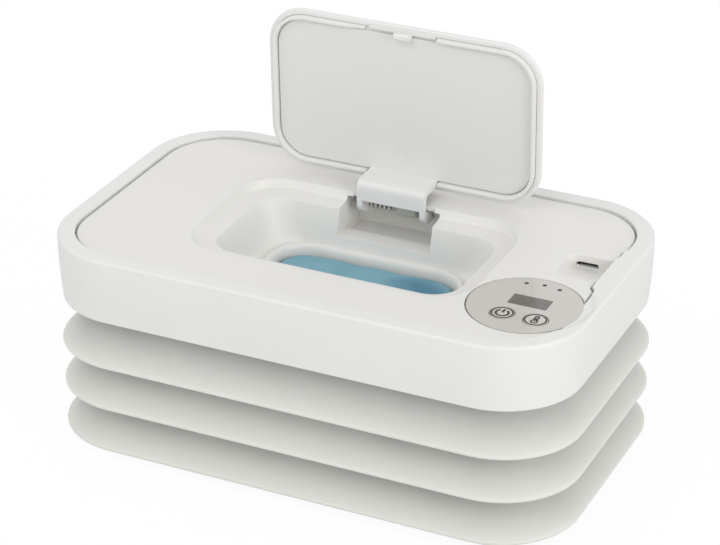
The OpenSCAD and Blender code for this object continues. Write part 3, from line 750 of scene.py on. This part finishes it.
class WARMER_OT_deck(Operator):
    """Deck with the lid seat, ledge, well, lipped throat, hinge pocket, catch and power recess"""

    bl_idname = "warmer.deck"
    bl_label = "Deck"

    def execute(self, context):
        s = context.scene.warmer_shell
        step, edge = s.inlet_step / MM, s.seat_round / MM
        inset = RIM_EDGE + RIM_GAP
        rings = [body_ring(inset + i, DECK_Z - z, step) for i, z in
                 ((0.4, 2.25), (0, 1.9), (0, 0.35), (0.1, 0.1), (0.35, 0), (3, 0))]
        rings += deck_hollow(edge=edge)
        rings += [offset_ring(THROAT, -2.2, THROAT_LOW), offset_ring(THROAT, -2.2, WELL_Z - 2.2),
                  rounded_ring(WELL[0] - 4, WELL[1] + 0.5, WELL[2] + 1, WELL[3], THROAT[4] + 0.6, WELL_Z - 2.2),
                  offset_ring(WELL, -2.2, WELL_TOP - 2.2), offset_ring(SEAT, -0.7, DECK_Z - 5.6),
                  offset_ring(SEAT, -2.2, DECK_Z - 2.4), body_ring(inset + 3, DECK_Z - 2.26, step)]
        deck = solid("deck", loft(rings, loop=True))
        x0, x1, y0, y1 = SLOT
        pocket = solid("pocket", brick(x0 - 2, x1 + 2, y0 - 1, y1 + 2, SLOT_LOW - 1.8, DECK_Z - 1))
        air = deck_hollow(grow=0.06, edge=edge)
        combine(pocket, [solid("air", loft([[(x, y, z + 5) for x, y, z in air[0]]] + air))])
        port = solid("port box", brick(PORT[0] - 1.8, PORT[1] - 3.4, PORT[2] + 1, PORT[3] + 2,
                                       DECK_Z - PORT[4] - 1.8, DECK_Z - 0.8))
        ledge = solid("cover ledge", turned([(1.2, -3.7), (1.2, -0.9)], *PANEL, PANEL_R, DECK_Z))
        combine(deck, [pocket, port, ledge], "UNION")
        cutters = [brick(x0, x1, y0 - 6, y1 - 13, SLOT_Z, TOP_Z + 4, 0.5),
                   brick(x0, x1, y1 - 14, y1, SLOT_LOW, DECK_Z - 1.8, 0.5),
                   brick(x0 + 2.5, x1 - 2.5, y1 - 14.2, 33, SLOT_LOW + 0.4, TOP_Z + 4, 0.4),
                   turned([(-3, -8), (-3, -1.9), (0.5, -1.9), (0.5, -0.3), (0.6, -0.08), (0.85, 0.01),
                           (0.85, 3)], *PANEL, PANEL_R, DECK_Z)]
        # power recess: a floor that rises to the front, with a rounded back left corner
        px0, px1, py0, py1, fall = PORT
        ramp = []
        for t, out in ((0.0, 0), (0.12, 0), (0.3, 0), (0.6, 0), (0.85, 0), (0.96, 0.12), (1.0, 0.45)):
            left, front = px0 + 3.2 * (1 - t) ** 1.5 - out, py1 - 1.2 - t * (py1 - py0 - 1.2) - out
            big = min(5.0, (py1 + out - front) * 0.45)
            ramp.append(plan_ring(left, px1 + out, front, py1 + out, DECK_Z - fall * (1 - t) + out * 0.02,
                                  (0.4, big, min(2.5, big), 0.4)))
        ramp.append([(x, y, z + 3) for x, y, z in ramp[-1]])
        cutters.append(loft(ramp))
        slot = rounded_ring(PLUG[2] + 0.3, PLUG[4], PLUG[4] / 2 - 0.02, PLUG[0], PLUG[1], arc=8, runs=(1, 1))
        cutters.append(prism([(a, b) for a, b, _ in slot], py1 - 1, py1 + 3, "y"))
        catch = SEAT[4] - LID[1] / 2 + HOOK[1] - 0.6
        cutters.append(block(HOOK[0], catch, HOOK[2] + 1.6, 3.6, DECK_Z - 7.6, DECK_Z - 1, 0.5))
        combine(deck, [solid("cut", c) for c in cutters])
        post = [(1.2, RIM_Z - 0.8), (3.6, RIM_Z - 0.8), (3.6, DECK_Z - 2.4), (1.2, DECK_Z - 2.4)]
        combine(deck, [solid("posts", join(*[turned(post, *p, segments=24) for p in POSTS]))], "UNION")
        ease_edges(deck, 0.2, 2, 55)
        dress(deck, "deck", "housing", ["top_deck"])
        return {"FINISHED"}


def open_skins(*paths):
    """Skins along (inset, z) paths, open at both ends."""
    skins = [loft([body_ring(i, z, runs=SOFT_RUNS) for i, z in path]) for path in paths]
    return join(*[(points, faces[:-2]) for points, faces in skins])


class WARMER_OT_tub(Operator):
    """Soft bellows: one fold stacked by nodes, with its neck and floor flanges"""

    bl_idname = "warmer.tub"
    bl_label = "Tub"

    def execute(self, context):
        round_r = context.scene.warmer_tub.lip_round / MM
        d, h, z = FOLD_IN, FOLD_H, LIP_Z
        outer = soften([(d - 0.2, z - 0.95 + h, 0), (d - 0.35, z + 0.8 * h, 2.5), (d - 2.0, z + 0.5 * h, 4),
                        (0.46 * d, z + 0.26 * h, 4), (1.5, z + 0.115 * h, 2.5), (0.0, z + 0.75, round_r),
                        (0.0, z - 0.45, round_r), (1.6, z - 1.15, 0.8), (d - 1.6, z - 0.9, 1.4),
                        (d - 0.2, z - 0.95, 0)], steps=5)
        inner = [(i + (SKIN if i > 5 else SKIN * 0.9), v + 0.55) for i, v in outer]
        inner[0] = (d - 0.2 + SKIN, z - 0.95 + h)
        inner[-1] = (d - 0.2 + SKIN, z - 0.95)
        inner = [p for p in inner if p[0] > 1.2]
        # one fold: its outer skin, then its inner skin, open where folds meet
        folds = solid("tub", open_skins(outer, inner))
        stack_graph().run(folds, Count=FOLDS, Pitch=h * MM, Weld=0.00002, Finish=FINISH["tub"])
        top, low = LIP_Z - 0.95 + FOLDS * h, LIP_Z - 0.95
        back, flange = d - 0.2 + SKIN, 16
        neck = soften([(d - 0.2, top, 0), (d - 0.1, BELLOWS_TOP - 0.8, 0), (d + 0.6, BELLOWS_TOP, 0.4),
                       (flange, BELLOWS_TOP, 0), (flange, BELLOWS_TOP - SKIN, 0),
                       (back, BELLOWS_TOP - SKIN, 0.3), (back, top, 0)])
        foot = soften([(d - 0.2, low, 0), (d + 0.6, BASE_TOP + 0.02, 0.5), (flange, BASE_TOP + 0.02, 0),
                       (flange, BASE_TOP + SKIN, 0), (back, BASE_TOP + SKIN, 0.2), (back, low, 0)])
        extra = solid("tub ends", open_skins(neck, foot))
        with editing(folds.data) as work:
            work.from_mesh(extra.data)
            bmesh.ops.remove_doubles(work, verts=work.verts, dist=2e-5)
            bmesh.ops.recalc_face_normals(work, faces=work.faces)
        drop(extra)
        # painted shade: each point gets a 0 to 1 value, highest in the valleys between the ridges, and the
        # silicone darkens by it
        depth = folds.data.attributes.new("deep", "FLOAT", "POINT")
        depth.data.foreach_set(
            "value", [min(1.0, max(0.0, inset_at(v.co) / d)) ** 1.3 for v in folds.data.vertices])
        dress(folds, "tub", "base", ["bellows"], angle=50, weighted=False)
        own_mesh(folds)
        return {"FINISHED"}


class WARMER_OT_pack(Operator):
    """Soft pack of wipes standing in the tub under the throat"""

    bl_idname = "warmer.pack"
    bl_label = "Wipes pack"

    def execute(self, context):
        top = context.scene.warmer_tub.pack_top / MM
        low = BASE_TOP + SKIN + 0.3
        shoulder = THROAT_LOW - 1.6
        # pillow: flat seals at half height, full in the middle
        body = (176, 88, 14, 0, 0)
        half = (low + shoulder) / 2
        levels = [(9, low), (4.5, low + 1.2), (1.6, low + 5), (0.3, low + 14), (0, half), (0.3, shoulder - 14),
                  (1.6, shoulder - 5), (4.5, shoulder - 1.2), (9, shoulder)]
        # crown: the film presses up through the throat and rounds off under the lip
        crown = [(-4, shoulder + 0.1), (0.4, shoulder + 0.5), (1.0, shoulder + 1.8), (1.1, top - 3.2),
                 (1.4, top - 1.7), (2.1, top - 0.9), (3.4, top - 0.45), (6, top - 0.15), (10, top),
                 (16, top + 0.1), (20.5, top + 0.12)]
        rings = inset_rings(body, levels, runs=PACK_RUNS) + inset_rings(THROAT, crown, runs=PACK_RUNS)
        rings = [[(x, y, z + (0.22 * sin(x * 0.31 + 2 * sin(y * 0.17)) if z > top - 2 else 0))
                  for x, y, z in ring] for ring in rings]
        pack = solid("wipes_pack", loft(rings))
        dress(pack, "film", "base", angle=60, weighted=False)
        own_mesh(pack)
        return {"FINISHED"}


def lid_shape(inset):
    """Outline of the shut lid about the pin, drawn in by inset."""
    w, d, r = LID
    return (w - 2 * inset, d - 2 * inset, max(r - inset, 1.0), SEAT[3], SEAT[4] - PIN[1])


def lid_level(drop):
    """Height about the pin at a drop below the shut lid's top."""
    return TOP_Z - PIN[2] - drop


def lid_loft(path):
    """A form of the lid along an (inset, drop) path."""
    return loft([rounded_ring(*lid_shape(i), lid_level(z)) for i, z in path])


def rib_half(side, front_x, back_x, taper=0.0):
    """One half of the sealing rib, open at the latch and at the hinge."""
    w, d, r, cx, cy = lid_shape(RIB_IN + RIB_HALF)
    x_side, front, back = cx + side * (w / 2 - r), cy - d / 2, cy + d / 2
    run = [i / 24 for i in range(25)]
    turn = [(sin(radians(90 * i / 16)), cos(radians(90 * i / 16))) for i in range(1, 17)]
    spots = [(front_x + (x_side - front_x) * t, front, 0, 1) for t in run]
    spots += [(x_side + side * r * a, front + r - r * b, -side * a, b) for a, b in turn]
    spots += [(cx + side * w / 2, front + r + (d - 2 * r) * t, -side, 0) for t in run[1:]]
    spots += [(x_side + side * r * b, back - r + r * a, -side * b, -a) for a, b in turn]
    spots += [(x_side + (back_x - x_side) * t, back, 0, -1) for t in run[1:]]
    low, high = LID_T - 0.55, LID_T + RIB_H - 0.05
    section = soften([(-RIB_HALF, low, 0), (-RIB_HALF, high, 0.45), (0.0, LID_T + RIB_H, 0.3),
                      (RIB_HALF, high, 0.45), (RIB_HALF, low, 0)], steps=3)
    rings = []
    for n, (x, y, nx, ny) in enumerate(spots):
        share = min(1.0, 0.12 + 0.88 * n / taper) if taper else 1.0
        levels = [lid_level(min(fall, LID_T) + max(0.0, fall - LID_T) * share) for _, fall in section]
        rings.append([(x + nx * across, y + ny * across, z) for (across, _), z in zip(section, levels)])
    return loft(rings)


class WARMER_OT_lid(Operator):
    """Lid: rounded cover, raised lining, sealing rib, latch hook and pull edge"""

    bl_idname = "warmer.lid"
    bl_label = "Lid"

    def execute(self, context):
        outside = [(1.9, 0.0), (1.2, 0.03), (0.6, 0.2), (0.2, 0.5), (0.02, 0.9), (0, 1.3), (0.12, 1.7),
                   (0.4, 2.02), (0.8, 2.17), (1.3, LID_T), (2.2, LID_T), (2.25, LID_T - 0.1),
                   (2.3, LID_T - 0.7), (4.6, LID_T - 0.7), (4.7, LID_T - 0.9), (12, LID_T - 0.9)]
        lining = [(4.4, LID_T - 0.85), (4.35, LID_T - 0.1), (4.45, LID_T + 0.08), (4.8, LID_T + 0.15),
                  (12, LID_T + 0.15)]
        front, level = SEAT[4] - PIN[1] - LID[1] / 2, lid_level(LID_T)
        mid, y = HOOK[0], front + HOOK[1]
        side = soften([(y + 0.8, level + 0.05, 0), (y - 0.8, level + 0.05, 0), (y - 0.8, level - 2.1, 0.2),
                       (y - 1.9, level - 3.0, 0.35), (y - 1.3, level - 4.2, 0.6), (y + 0.8, level - 4.2, 0.6)],
                      steps=3, closed=True)
        pieces = (
            ("lid shell", lid_loft(outside), ["lid_cover"]),
            ("lid lining", lid_loft(lining), ["lid_panel"]),
            ("sealing rib", join(rib_half(-1, -15.4, -15.2, 9), rib_half(1, 16.3, 16.4)), ["lid_rib"]),
            ("catch hook", prism(side, mid - HOOK[2] / 2, mid + HOOK[2] / 2, "x"), ["latch_hook"]),
            ("pull edge", block(SEAT[3], front + 2.3, 29, 1.6, level - 0.7, level + 0.04, 0.8), ["pull_tab"]),
            ("gate mark", ring_mark(GATE[0], GATE[1], lid_level(LID_T + 0.3), GATE[2], 0.5, -100, 0, 20), ()))
        for name, data, nodes in pieces:
            piece = solid(name, data, about_pin)
            if name == "catch hook":
                ease_edges(piece, 0.2)
            dress(piece, "panel" if name == "lid lining" else "shell", "lid", nodes,
                  angle=40 if name == "sealing rib" else 32, weighted=name != "gate mark")
        return {"FINISHED"}


class WARMER_OT_hinge(Operator):
    """Goose-neck bracket, damper sleeve and return spring"""

    bl_idname = "warmer.hinge"
    bl_label = "Hinge"

    def execute(self, context):
        x0, x1 = PIN[0] - BRACKET_W / 2, PIN[0] + BRACKET_W / 2
        neck = soften([(4.5, 12.6, 0), (-5.2, 12.6, 2.2), (-9.2, 11.9, 3.4), (-9.2, 3.9, 0.5), (-7.3, 3.9, 0.5),
                       (-7.3, 9.4, 2.4), (-4.6, 10.4, 2.2), (4.5, 10.4, 0)], steps=6, closed=True)
        arm = soften([(-9.2, 5.0, 0), (-9.2, 1.0, 1.2), (-7.4, -1.7, 2.0), (-3.4, -3.0, 1.5), (0.0, -3.0, 1.6),
                      (3.0, -3.0, 2.9), (3.0, 3.0, 2.9), (0, 3.0, 1.5), (-5.4, 2.7, 1.5), (-7.3, 3.6, 0.8),
                      (-7.3, 5.0, 0)], steps=5, closed=True)

        def turn(point):
            return about_pin(point, radians(90) - LID_OPEN)

        bracket = solid("goose neck", prism(neck, x0, x1, "x"), turn)
        arms = [solid("arm", prism(arm, a, a + 2.2, "x"), turn) for a in (x0, x1 - 2.2)]
        combine(bracket, arms, "UNION")
        hole = [(BORE_R * cos(radians(a)), BORE_R * sin(radians(a))) for a in range(0, 360, 12)]
        combine(bracket, [solid("bore", prism(hole, x0 - 2, x1 + 2, "x"), turn)])
        ease_edges(bracket, 0.28, 3)
        dress(bracket, "shell", "lid", ["hinge_bracket"])
        profile = soften([(BORE_R, 0.8, 0), (3.7, 0.8, 0.6), (3.7, 9.6, 0.6), (BORE_R, 9.6, 0)],
                         steps=4, closed=True)
        rings = [[(x, PIN[1] + r * cos(radians(a)), PIN[2] + r * sin(radians(a)))
                  for a in range(0, 360, 8)] for r, x in profile]
        damper = solid("damper sleeve", loft(rings, loop=True))
        dress(damper, "sleeve", "housing", ["hinge_damper"])
        low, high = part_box("hinge_spring")
        wire = 0.00045
        spring = solid("return spring", ([(0, 0, 0)], []))
        coil_graph().run(spring, Turns=5.0, Radius=0.0026, Length=high[0] - low[0] - 2 * wire, Wire=wire,
                         Start=(low[0] + wire, PIN[1] * MM, PIN[2] * MM), Finish=FINISH["wire"])
        dress(spring, "wire", "housing", ["hinge_spring"], weighted=False)
        return {"FINISHED"}


def ring_mark(x, y, z, r, width, start=0.0, end=360.0, steps=48):
    """A flat printed arc with a little thickness."""
    closed = end - start >= 360
    count = steps if closed else steps + 1
    rings = []
    for i in range(count):
        a = radians(start + (end - start) * i / steps)
        c, s = cos(a), sin(a)
        rings.append([(x + (r + side * width / 2) * c, y + (r + side * width / 2) * s, z + rise * PRINT)
                      for side, rise in ((-1, -1), (1, -1), (1, 1), (-1, 1))])
    return loft(rings, loop=closed)


def bar_mark(x, half, y0, y1, z):
    """A flat printed bar with a little thickness."""
    return prism([(x - half, y0), (x + half, y0), (x + half, y1), (x - half, y1)], z - PRINT, z + PRINT)


class WARMER_OT_controls(Operator):
    """Control cover, window, keys with their printed signs and status dots"""

    bl_idname = "warmer.controls"
    bl_label = "Controls"

    def execute(self, context):
        s = context.scene.warmer_controls
        line, sign = s.line / MM, s.sign_r / MM
        top = PANEL_TOP
        profile = [(-0.2, -2), (0, -1.8), (0, -0.45), (-0.12, -0.15), (-0.45, 0), (-3, 0)]
        cover = solid("control cover", turned(profile, *PANEL, PANEL_R, top, 96))
        x, y, w, d = WINDOW
        cuts = [turned([(0.3, -3), (0.3, -0.1), (0.42, 0.01), (0.42, 1)], *k, KEY_R, top, 48) for k in KEYS]
        cuts += [turned([(0.9, -3), (0.9, 1)], *p, 0, top, 20) for p in LEDS]
        cuts += [block(x, y, w, d, top - 1.4, top + 1, 0.4), block(x, y, w - 1, d - 0.6, top - 3, top, 0.3)]
        combine(cover, [solid("cut", c) for c in cuts])
        dress(cover, "cover", "housing", ["panel_cover"])
        pane = solid("window pane", block(x, y, w - 0.08, d - 0.08, top - 1.38, top, 0.4))
        dress(pane, "window", "housing", ["display_window"])
        for body, (kx, ky) in zip(("power_key", "temperature_key"), KEYS):
            z = top + 0.05
            profile = [(1.1, -3.2), (1.1, -2.3), (0, -2.3), (0, -0.12), (-0.1, 0.02), (-0.35, 0.05),
                       (-2.5, 0.05)]
            cap = solid(body.replace("_", " ") + " cap", turned(profile, kx, ky, KEY_R, top, 64))
            dress(cap, "key", body, [body])
            marks = [ring_mark(kx, ky, z, KEY_R - 0.62, line)]
            if body == "power_key":
                marks += [ring_mark(kx, ky, z, sign, line * 1.3, 122, 418),
                          bar_mark(kx, line * 0.65, ky + 0.2, ky + sign + 0.5, z)]
            else:
                marks.append(ring_mark(kx, ky - 1.5, z, 1.15, line, 118, 422))
                marks += [bar_mark(kx + side * 0.62, line / 2, ky - 0.6, ky + 2.26, z) for side in (-1, 1)]
                marks += [ring_mark(kx, ky + 2.2, z, 0.62, line, 0, 180, 16),
                          bar_mark(kx, 0.2, ky - 1.6, ky + 1.2, z)]
            print_name = body.split("_")[0] + " sign"
            dress(solid(print_name, join(*marks)), "mark", body, weighted=False)
        return {"FINISHED"}


class WARMER_OT_inlet(Operator):
    """Power inlet: drawn shell and contact tongue"""

    bl_idname = "warmer.inlet"
    bl_label = "Power inlet"

    def execute(self, context):
        x, z, w, h, _ = PLUG
        y0 = PORT[3]
        rings = []
        for inset, y in ((0.3, 0.3), (0.15, 0.12), (0, 0.25), (0, 7.4), (0.3, 7.4), (0.3, 6.9)):
            ring = rounded_ring(w - 2 * inset, h - 2 * inset, h / 2 - inset - 0.02, x, z, 0, arc=8, runs=(2, 1))
            rings.append([(a, y0 + y, b) for a, b, _ in ring])
        shell = solid("inlet shell", loft(rings, loop=True))
        dress(shell, "steel", "housing", ["usb_socket"])
        tongue = solid("inlet tongue", brick(x - 3.3, x + 3.3, y0 + 1, y0 + 6.8, z - 0.35, z + 0.35, 0.3))
        dress(tongue, "dark", "housing", ["usb_tongue"])
        return {"FINISHED"}


def one_screw(head_r, head_h, r, length):
    """A screw standing head down, with a cross recess."""
    thread = []
    z = head_h
    while z < head_h + length - 0.9:
        thread += [(r - 0.12, z), (r, z + 0.2), (r - 0.12, z + 0.4)]
        z += 0.5
    body = turned([(head_r - 0.35, 0), (head_r - 0.08, 0.12), (head_r, 0.4), (head_r, head_h)] + thread +
                  [(r - 0.15, head_h + length - 0.5), (0.3, head_h + length)], 0, 0, segments=20)
    screw = solid("screw", body)
    arms = [solid("cross", brick(-a, a, -b, b, -0.5, head_h * 0.62, 0.05))
            for a, b in ((1.5, 0.28), (0.28, 1.5))]
    return combine(screw, arms)


class WARMER_OT_fixings(Operator):
    """Screws and feet, placed by nodes"""

    bl_idname = "warmer.fixings"
    bl_label = "Screws and feet"

    def execute(self, context):
        graph = copies_graph()
        rail = BODY_D / 2 - 15.25
        clamps = [(x, s * rail) for x in (-60, 0, 60) for s in (-1, 1)]
        screws = (("base_screws", "base", clamps, 1.0), ("collar_screws", "collar", clamps, 1.0),
                  ("housing_screws", "housing", POSTS, 1.1))
        for node, body, places, head in screws:
            low, high = size_mm(node)
            pattern = one_screw(2.6, head, 1.25, high[2] - low[2] - head)
            points = solid(node[:-6] + "screw set", ([(a, b, low[2]) for a, b in places], []))
            graph.run(points, Piece=pattern, Finish=FINISH["steel"])
            drop(pattern)
            dress(points, "steel", body, [node], weighted=False)
        low, high = size_mm("rubber_feet")
        h = high[2]
        profile = soften([(0.5, 0.3, 0), (3.4, 0.3, 0), (3.9, 0.0, 0.2), (6.4, 0.0, 0.5), (FOOT_R, 0.5, 0.4),
                          (FOOT_R, h, 0), (0.5, h, 0)], steps=3)
        foot = solid("foot", turned(profile, 0, 0, segments=40))
        x, y = high[0] - FOOT_R, high[1] - FOOT_R
        points = solid("foot set", ([(sx * x, sy * y, 0) for sx in (-1, 1) for sy in (-1, 1)], []))
        graph.run(points, Piece=foot, Finish=FINISH["foot"])
        drop(foot)
        dress(points, "foot", "base", ["rubber_feet"], weighted=False)
        return {"FINISHED"}


class WARMER_OT_stage(Operator):
    """Floor, sky, lamps and the camera"""

    bl_idname = "warmer.stage"
    bl_label = "Stage"

    def execute(self, context):
        s = context.scene.warmer_stage
        scene = context.scene
        scene.view_settings.view_transform = "Standard"
        world = bpy.data.worlds.new("studio sky")
        scene.world = world
        world.use_nodes = True
        w, white = Nodes(world.node_tree), (1, 1, 1, 1)
        path = w.node("LightPath").socket.node
        camera_ray, glossy, through = (Val(w, path.outputs["Is %s Ray" % kind]) for kind in
                                       ("Camera", "Glossy", "Transmission"))
        clamped = {"operation": "ADD", "use_clamp": True}
        bounced = w.node("Math", {0: glossy, 1: through}, **clamped)
        seen = w.node("Math", {0: camera_ray, 1: bounced}, **clamped)
        lit, backdrop = (w.node("Background", {"Color": white, "Strength": v})
                         for v in (s.sky, 1.0))
        both = w.node("MixShader", {0: seen, 1: lit, 2: backdrop})
        w.node("OutputWorld", {0: both})

        f = Finish("studio floor")
        cloud = f.noise(3.0, 2.0)
        tone = f.mix(cloud, (0.8, 0.8, 0.8, 1), (0.84, 0.84, 0.84, 1))
        matt = f.node("BsdfDiffuse", {"Color": tone})
        glow = f.node("Emission", {"Color": (1, 1, 1, 1), "Strength": 1.02})
        ray = f.node("LightPath", out="Is Camera Ray")
        both = f.node("MixShader", {0: ray * 0.92, 1: matt, 2: glow})
        f.node("OutputMaterial", {"Surface": both})
        corners = [(x * FLOOR_HALF, y * FLOOR_HALF, -0.1) for x, y in ((-1, -1), (1, -1), (1, 1), (-1, 1))]
        floor = solid("floor", (corners, [(0, 1, 2, 3)]))
        floor.data.materials.append(f.material)

        def aimed(name, data, spot, aim):
            """A lamp or camera at spot that looks at aim."""
            made = bpy.data.objects.new(name, data)
            made.location = spot
            made.rotation_euler = (Vector(aim) - Vector(spot)).to_track_quat("-Z", "Y").to_euler()
            scene.collection.objects.link(made)
            return made

        for name, spot, size, share in (("front lamp", (-0.2, -1.2, 1.3), 1.0, 1.0),
                                        ("right lamp", (1.5, -0.6, 0.6), 0.9, 1.8),
                                        ("left lamp", (-1.5, -0.6, 0.75), 0.9, 0.6),
                                        ("top lamp", (0.1, 0.5, 1.6), 1.0, 0.2)):
            light = bpy.data.lights.new(name, "AREA")
            light.shape, light.size, light.energy = "DISK", size, s.lamp * share
            aimed(name, light, spot, (0, 0, 0.06))

        lens = bpy.data.cameras.new("camera")
        lens.sensor_fit, lens.sensor_width, lens.lens = "HORIZONTAL", 36, 128.2
        scene.camera = aimed("camera", lens, (0.3851, -0.8172, 0.5337), (0.0019, 0, 0.0714))
        return {"FINISHED"}


OPERATORS = (WARMER_OT_finishes, WARMER_OT_stage, WARMER_OT_rim, WARMER_OT_deck, WARMER_OT_tub, WARMER_OT_pack,
             WARMER_OT_lid, WARMER_OT_hinge, WARMER_OT_controls, WARMER_OT_inlet, WARMER_OT_fixings)


class WARMER_PT_panel(Panel):
    """Lists the pieces and their settings"""

    bl_idname = "WARMER_PT_panel"
    bl_label = "Wipe Warmer"
    bl_space_type = "VIEW_3D"
    bl_region_type = "UI"
    bl_category = "Warmer"

    def draw(self, context):
        layout = self.layout
        for key, group in SETTINGS.items():
            box = layout.box()
            box.label(text=group.__doc__)
            for name in group.__annotations__:
                box.prop(getattr(context.scene, key), name)
        for operator in OPERATORS:
            layout.operator(operator.bl_idname)


def register():
    for key, group in SETTINGS.items():
        bpy.utils.register_class(group)
        setattr(bpy.types.Scene, key, bpy.props.PointerProperty(type=group))
    for item in (*OPERATORS, WARMER_PT_panel):
        bpy.utils.register_class(item)


def unregister():
    for item in (WARMER_PT_panel, *reversed(OPERATORS)):
        bpy.utils.unregister_class(item)
    for key, group in SETTINGS.items():
        delattr(bpy.types.Scene, key)
        bpy.utils.unregister_class(group)


def main():
    """Builds every piece in order."""
    register()
    for operator in OPERATORS:
        group, name = operator.bl_idname.split(".")
        if getattr(getattr(bpy.ops, group), name)() != {"FINISHED"}:
            raise RuntimeError(operator.bl_label + " was not finished")


if __name__ == "__main__":
    main()
